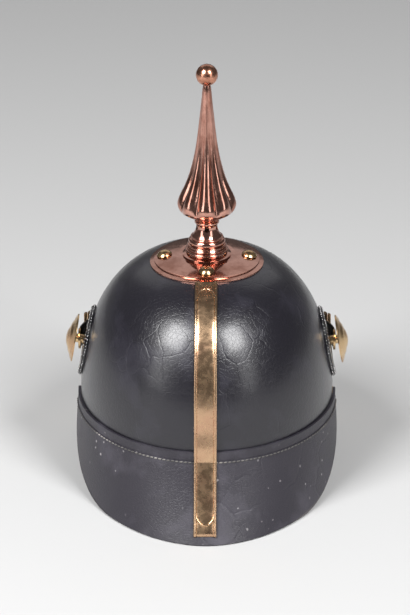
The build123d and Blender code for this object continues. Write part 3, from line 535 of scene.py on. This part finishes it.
def spine_places():
    """Places down the middle of the back, each with its outward direction and its thickness."""
    strip = surface_of("rear_spine")
    middle = Vector((0, -20 * MM, 30 * MM))
    places = []
    for step in range(down_steps + 1):
        turn = math.radians(99.9 + 91 * step / down_steps)
        sight = Vector((0, math.cos(turn), math.sin(turn)))
        spot, normal = landing(strip, middle + sight * 5 * SIGHT, -sight)
        if spot is not None and spot.z > 5 * MM:
            outwards = Vector((0, normal.y, normal.z)).normalized()
            places.append((spot - outwards * WEB, outwards, 1.0))
    below, outwards = places[-1][:2]
    down = Vector((0, outwards.z, -outwards.y))
    down = down if down.z < 0 else -down
    hook = below - outwards * HALF_EDGE + down * HOOK_DROP
    for step in range(1, hook_steps + 1):
        turn = math.pi * step / hook_steps
        facing = outwards * math.cos(turn) + down * math.sin(turn)
        thick = 1 - (1 - FOLDED) * min(1, 2 * step / hook_steps)
        places.append((hook + facing * HALF_EDGE, facing, thick))
    places.append((hook - outwards * HALF_EDGE - down * HOOK_RETURN, -outwards, FOLDED))
    return places


places = spine_places()


def on_spine(across, share, height):
    """A point on the strip: across it, a share of its length down, and above its underside."""
    step = share * (len(places) - 1)
    index = min(int(step), len(places) - 2)
    (low, low_out, low_thick), (high, high_out, high_thick) = places[index : index + 2]
    between = step - index
    outwards = low_out.lerp(high_out, between).normalized()
    thick = low_thick + (high_thick - low_thick) * between
    return low.lerp(high, between) + Vector((across, 0, 0)) + outwards * height * thick


def spine_strip():
    """The strip with an arch laid across it near the top and near the bottom."""
    maker = bmesh.new()
    count = len(spine_section)

    def place(round_share, share):
        across, height = spine_section[round(round_share * count) % count]
        return on_spine(across, share, height)

    shaped(maker, count, len(places) - 1, place, caps=True)
    side = SPINE_HALF - BEAD
    half_turn = [math.pi * step / 24 for step in range(25)]
    for middle, run in arches:
        line = [
            on_spine(side * math.cos(turn), middle + run * math.sin(turn), ARCH_LIFT)
            for turn in half_turn
        ]
        tube(maker, line, ARCH_RADIUS)
    finish_piece("spine", maker, "helmet", "spine_brass", ("rear_spine",))


spine_strip()

# %% [markdown]
# ## The ears
#
# The round cockades are pressed from sheet and enamelled black. Two rows of small beads run round
# their edge. They are black in random patches and silver elsewhere. The silver is a painted
# highlight that stands in for the dotted line of glints on the glossy black beads.

# %% Beads round the cockades
COCKADE_RADIUS = 25.5 * MM
FACE_RADIUS = 24.2 * MM
LANDING_RADIUS = 25.2 * MM
EDGE_SINK = 1.4 * MM
COCKADE_BEAD = 0.62 * MM
EAR = Vector((88.05, 10, 92.8)) * MM
LEAN = math.radians(10)


def cockade_beads(side, word):
    """Two rings of beads: one on the rim's face and one round its edge."""
    maker = bmesh.new()
    cockade = surface_of("cockade_" + word)
    outwards = Vector((side * math.cos(LEAN), 0, math.sin(LEAN)))
    upwards = Vector((-side * math.sin(LEAN), 0, math.cos(LEAN)))
    ear = Vector((side * EAR.x, EAR.y, EAR.z))
    for radius, sink, count in ((FACE_RADIUS, 0.0, 62), (COCKADE_RADIUS, EDGE_SINK, 66)):
        for index in range(count):
            turn = math.tau * index / count
            spoke = upwards * math.cos(turn) + Vector((0, math.sin(turn), 0))
            reach = min(radius, LANDING_RADIUS)
            spot = landing(cockade, ear + spoke * reach + outwards * SIGHT, -outwards)[0]
            if spot is not None:
                bead(maker, spot + spoke * (radius - reach) - outwards * sink, (COCKADE_BEAD,) * 3)
    # The beads' silver colour is a painted highlight, not silvering.
    finish_piece("cockade_beads_" + word, maker, "helmet", "bead_painted_glint")


cockade_beads(1, "right")
cockade_beads(-1, "left")

# %% [markdown]
# ## The plate on the front
#
# A pressed star has fine rays, each one a thin ridge that runs outwards from the ring. The
# ridges are laid on the plate by dropping points onto it from in front.

# %% Rays of the star
RAY_COUNT = 64
RAY_STEPS = 8
RAY_START = 17 * MM
RAY_LENGTH = 24 * MM
RAY_RADIUS = 0.5 * MM
RAY_LIFT = 0.05 * MM
STEEPEST = 0.3


def star_rays():
    """Ridges from the star's ring outwards, each ending where the plate ends."""
    maker = bmesh.new()
    plate = surface_of("front_star")
    low, high = (Vector(corner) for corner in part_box("front_star"))
    level = (low.z + high.z) / 2
    for index in range(RAY_COUNT):
        turn = math.tau * index / RAY_COUNT
        line = []
        for step in range(RAY_STEPS + 1):
            reach = RAY_START + RAY_LENGTH * step / RAY_STEPS
            across, up = reach * math.cos(turn), reach * math.sin(turn)
            start = Vector((across, high.y + SIGHT, level + up))
            spot, normal = landing(plate, start, Vector((0, -1, 0)))
            if spot is None or normal.y < STEEPEST:
                line = line[:-1] if len(line) > 2 else []
                break
            line.append(spot + normal * RAY_LIFT)
        if line:
            tube(maker, line, RAY_RADIUS, 8)
    finish_piece("star_rays", maker, "helmet", "brass")


star_rays()

# %% [markdown]
# ## Soft leather inside
#
# A leather sweatband lines the rim. The liner behind it is one strip, cut into tongues at the
# top; the tongues are laced together so that the helmet rests on the head and not on its own
# crown. Between the laces the thin leather bellies in.

# %% Sweatband and liner
BAND_INSET = 3.3 * MM
BAND_LEATHER = 1.0 * MM
BAND_MIDDLE = 63 * MM
BAND_HALF = 10.4 * MM
BAND_WAVE = 0.12 * MM
BAND_WAVES = 23
LINER_FOOT = 56.2 * MM
LINER_HEIGHT = 87.5 * MM
LINER_LEATHER = 1.1 * MM
SLOT_FOOT = 98 * MM
SLOT_FADE = 5 * MM
SLOT_HALF = 2.6 * MM
TONGUES = 9
BELLY = 1.6 * MM
GATHER = 0.5 * MM
LACE_RADIUS = 0.6 * MM
lace_heights = (112, 122, 132)
lace_line = (-5, -2.5, 0, 2.5, 5)
liner_insets = ((0, 4.8), (0.3, 8.8), (0.55, 13.5), (0.8, 21.4), (1.0, 36.2))


def sweatband():
    """A soft band whose section goes round: up its outside, over and down its inside."""
    maker = bmesh.new()

    def place(share, round_share):
        angle, turn = math.tau * share, math.tau * round_share
        wave = BAND_WAVE * math.sin(BAND_WAVES * angle)
        depth = BAND_INSET + BAND_LEATHER * (0.5 - 0.5 * math.cos(turn)) * 0.8
        height = BAND_MIDDLE + BAND_HALF * math.copysign(abs(math.sin(turn)) ** 0.25, math.sin(turn))
        return wall(angle, height + wave * math.sin(turn), depth)

    shaped(maker, 144, 24, place)
    finish_piece("soft_sweatband", maker, "helmet", "lining_leather", ("sweatband",))


def liner_inset(share):
    """How far the liner hangs inside the skull's outside, in metres."""
    for (low, near), (high, far) in zip(liner_insets, liner_insets[1:]):
        if share <= high:
            return (near + (far - near) * (share - low) / (high - low)) * MM
    return liner_insets[-1][1] * MM


def liner():
    """Nine tongues, joined below the foot of the slots, with laces across the slots."""
    maker = bmesh.new()
    for tongue in range(TONGUES):
        first = math.tau * tongue / TONGUES

        def place(across, up):
            height = LINER_FOOT + LINER_HEIGHT * up
            angle = first + math.tau / TONGUES * across
            bare = wall(angle, height, liner_inset(up))
            opened = min(max((height - SLOT_FOOT) / SLOT_FADE, 0), 1) ** 0.5
            trim = SLOT_HALF * opened / math.hypot(bare.x, bare.y)
            angle = first + trim + (math.tau / TONGUES - 2 * trim) * across
            belly = BELLY * math.sin(math.pi * across) ** 2 * math.sin(math.pi * min(1, up * 1.1))
            gather = GATHER * up**2 * (1 - math.cos(6 * math.pi * across))
            return wall(angle, height, liner_inset(up) + max(belly, 0) + gather)

        shaped(maker, 24, 40, place)
    bmesh.ops.remove_doubles(maker, verts=maker.verts, dist=0.02 * MM)
    bmesh.ops.recalc_face_normals(maker, faces=maker.faces)
    bmesh.ops.solidify(maker, geom=maker.faces, thickness=LINER_LEATHER)
    for tongue in range(TONGUES):
        for height in lace_heights:
            share = (height * MM - LINER_FOOT) / LINER_HEIGHT
            inset = liner_inset(share) + LACE_RADIUS
            middle = wall(math.tau * tongue / TONGUES, height * MM, inset)
            along = Vector((-middle.y, middle.x, 0)).normalized()
            tube(maker, [middle + along * reach * MM for reach in lace_line], LACE_RADIUS, 8)
    finish_piece("gathered_liner", maker, "helmet", "liner_leather", ("liner",))


sweatband()
liner()

# %% [markdown]
# ## Linings of the visors
#
# Thin leather is glued under each visor, short of its edge. It is drawn on the visor's own
# flare. How far down it goes is read from the frame, at each angle round the helmet.

# %% Linings
LINING_INSET = 2.75 * MM
LINING_LEATHER = 0.5 * MM
LINING_REACH = 1.2 * MM
LINING_SINK = 0.15 * MM
LINING_COLUMNS = 120
LINING_TOP = 0.008
LINING_MARGIN = 0.02


def lining(visor, first, last):
    """A thin curved sheet under one visor, between two angles."""
    node = visor + "_visor_lining"
    solid = surface_of(node)

    shares = [column / LINING_COLUMNS for column in range(LINING_COLUMNS + 1)]
    angles = [math.radians(first + (last - first) * share) for share in shares]
    depths = [lowest_share(solid, angle, LINING_INSET, LINING_REACH, 10) for angle in angles]
    maker = bmesh.new()

    def place(share, down):
        column = round(share * LINING_COLUMNS)
        drop = LINING_TOP + max(depths[column] - LINING_MARGIN, 0.004) * down
        return skirt(angles[column], drop, LINING_INSET + LINING_SINK)

    shaped(maker, LINING_COLUMNS, 12, place)
    bmesh.ops.recalc_face_normals(maker, faces=maker.faces)
    bmesh.ops.solidify(maker, geom=maker.faces, thickness=LINING_LEATHER)
    finish_piece(visor + "_lining", maker, "helmet", "lining_leather", (node,))


lining("rear", -180, 0)
lining("front", 12, 168)

# %% [markdown]
# ## The rolled edge of the rear visor
#
# The rear visor has no brass. Its cut edge is rounded and waxed instead, and the wax has worn
# off in places. So a thin roll of leather runs along the edge. Its pale patches are partly that
# worn wax and partly a painted highlight, the thin light line that the edge catches.

# %% Rolled edge
EDGE_ROLL = 1.25 * MM
EDGE_REACH = 1.4 * MM
EDGE_TRIM = 0.004
EDGE_STEPS = 240


def rolled_edge():
    """A thin roll along the free edge of the rear visor, a little smoothed."""
    visor = surface_of("rear_visor")
    spots = []
    for step in range(EDGE_STEPS + 1):
        angle = math.radians(-178.4 + 176.8 * step / EDGE_STEPS)
        down = lowest_share(visor, angle, EDGE_ROLL, EDGE_REACH, 12)
        spots.append(skirt(angle, min(down, 1 - EDGE_ROLL / RIM) - EDGE_TRIM, EDGE_ROLL))
    for smoothing in range(6):
        inner = [(low + middle + high) / 3 for low, middle, high in zip(spots, spots[1:], spots[2:])]
        spots = [spots[0], *inner, spots[-1]]
    maker = bmesh.new()
    tube(maker, spots, EDGE_ROLL)
    # The roll's paler finish is partly wear and partly a painted highlight along the visor's edge.
    finish_piece("rolled_edge", maker, "helmet", "worn_and_highlight_edge")


rolled_edge()

# %% [markdown]
# ## The chin loop
#
# The chinscales lie on two leather straps that are joined by a buckle at the front. The left
# strap ends in a riveted tongue, which runs under the buckle's outer bar and through the
# keeper. The right strap is folded round the buckle's hinge bar.

# %% Straps and tongue
CHIN_HALF_WIDTH = 92.578 * MM
CHIN_REACH = 105.4 * MM
DIP = math.radians(13)
CHIN_ORIGIN = Vector((0, 10, 93.5988)) * MM
STRAP_WIDTH = 15 * MM
STRAP_LEATHER = 1.5 * MM
TONGUE_WIDTH = 12 * MM
TONGUE_LEATHER = 1.4 * MM
TONGUE_OUT = 1.75 * MM
EYELET_REACH = 7.9 * MM
ahead = Vector((0, math.cos(DIP), -math.sin(DIP)))
upwards = Vector((0, math.sin(DIP), math.cos(DIP)))


def chin_point(across, out, up):
    """A point by the chin line: across the helmet, outwards from the line, and up."""
    turn = math.acos(max(-1, min(1, across / CHIN_HALF_WIDTH)))
    normal = Vector((math.cos(turn) / CHIN_HALF_WIDTH, 0, 0)) + ahead * (math.sin(turn) / CHIN_REACH)
    spot = Vector((CHIN_HALF_WIDTH * math.cos(turn), 0, 0)) + ahead * CHIN_REACH * math.sin(turn)
    return CHIN_ORIGIN + spot + normal.normalized() * out + upwards * up


def strap(maker, first, last, middle_out, width, thickness, pointed=False):
    """A leather strip with rounded edges between two angles of the chin line."""

    def place(round_share, share):
        turn = math.tau * round_share
        cosine, sine = math.cos(turn), math.sin(turn)
        up = width / 2 * math.copysign(abs(cosine) ** 0.35, cosine)
        if pointed:
            up *= min(1, 0.25 + ((1 - share) / 0.16) ** 0.6)
        out = thickness / 2 * math.copysign(abs(sine) ** 0.5, sine)
        angle = first + (last - first) * share
        return chin_point(CHIN_HALF_WIDTH * math.cos(angle), middle_out + out, up)

    shaped(maker, 28, 60, place, caps=True)


def angle_at(across):
    """The angle of the chin line at a distance to the right of the middle."""
    return math.acos(across * MM / CHIN_HALF_WIDTH)


EYELET_END = math.asin(EYELET_REACH / CHIN_REACH)
right_strap = bmesh.new()
strap(right_strap, EYELET_END, angle_at(22.6), 0, STRAP_WIDTH, STRAP_LEATHER)
finish_piece("right_strap", right_strap, "chin_scales", "strap_leather", ("strap_right",))
left_strap = bmesh.new()
strap(left_strap, math.pi - EYELET_END, angle_at(-2.2), 0, STRAP_WIDTH, STRAP_LEATHER)
finish_piece("left_strap", left_strap, "chin_scales", "strap_leather", ("strap_left",))
tongue = bmesh.new()
strap(tongue, angle_at(-30), angle_at(32), TONGUE_OUT, TONGUE_WIDTH, TONGUE_LEATHER, pointed=True)
finish_piece("pointed_tongue", tongue, "chin_scales", "strap_leather", ("strap_tongue",))

# %% [markdown]
# ## Studio and camera
#
# The metal is only as bright as what it mirrors. Two broad soft lamps hang high behind the
# helmet, a good forty degrees to either side of the camera. They make the two round sheens on
# the leather. Under each stands a tall dim one, which draws the long highlights on the spike,
# and a wide dim one fills the front. The camera looks from behind and above.

# %% Floor, lamps and camera
LAMP_AIM = 150 * MM
CAMERA_AIM = 123 * MM
CAMERA_SHIFT = 1.3 * MM
CAMERA_DISTANCE = 2.0
HALF_PICTURE_SHARE = 307.5 / 2777.8
scene = bpy.context.scene
floor_maker = bmesh.new()
bmesh.ops.create_grid(floor_maker, x_segments=1, y_segments=1, size=15)
floor_mesh = bpy.data.meshes.new("floor")
floor_maker.to_mesh(floor_mesh)
floor_maker.free()
floor = bpy.data.objects.new("floor", floor_mesh)
scene.collection.objects.link(floor)
floor_finish = new_material("pale_floor", 0.9)[0]
floor_shader = floor_finish.node_tree.nodes["Principled BSDF"]
floor_shader.inputs["Base Color"].default_value = (0.60, 0.60, 0.60, 1)
floor_mesh.materials.append(floor_finish)

world = bpy.data.worlds.new("studio")
world.use_nodes = True
background = world.node_tree.nodes["Background"]
background.inputs["Color"].default_value = (1, 1, 1, 1)
background.inputs["Strength"].default_value = 0.10
scene.world = world


def softbox(name, azimuth, elevation, distance, size, power):
    """A rectangular lamp that looks at the helmet; azimuth 0 is straight behind it."""
    turn, rise = math.radians(azimuth), math.radians(elevation)
    away = Vector((math.sin(turn) * math.cos(rise), -math.cos(turn) * math.cos(rise), math.sin(rise)))
    lamp = bpy.data.lights.new(name, "AREA")
    lamp.shape = "RECTANGLE"
    lamp.size, lamp.size_y = size
    lamp.energy = power
    holder = bpy.data.objects.new(name, lamp)
    holder.location = Vector((0, 0, LAMP_AIM)) + away * distance
    holder.rotation_euler = (-away).to_track_quat("-Z", "Y").to_euler()
    scene.collection.objects.link(holder)


softbox("left_softbox", -46, 46, 2.0, (0.75, 0.85), 40)
softbox("right_softbox", 40, 46, 2.0, (0.60, 0.80), 32)
softbox("left_tall", -50, 16, 2.0, (0.60, 1.0), 5)
softbox("right_tall", 44, 16, 2.0, (0.50, 1.0), 4)
softbox("front_softbox", 180, 36, 2.6, (3.0, 1.7), 8)

azimuth, elevation = math.radians(0.6), math.radians(24)
right = Vector((math.cos(azimuth), math.sin(azimuth), 0))
behind = Vector((math.sin(azimuth), -math.cos(azimuth), 0))
away = behind * math.cos(elevation) + Vector((0, 0, math.sin(elevation)))
lens = bpy.data.cameras.new("camera")
lens.sensor_fit = "VERTICAL"
lens.angle = 2 * math.atan(HALF_PICTURE_SHARE)
camera = bpy.data.objects.new("camera", lens)
camera.location = Vector((0, 0, CAMERA_AIM)) - right * CAMERA_SHIFT + away * CAMERA_DISTANCE
camera.rotation_euler = (-away).to_track_quat("-Z", "Y").to_euler()
scene.collection.objects.link(camera)
scene.camera = camera
scene.view_settings.view_transform = "Standard"
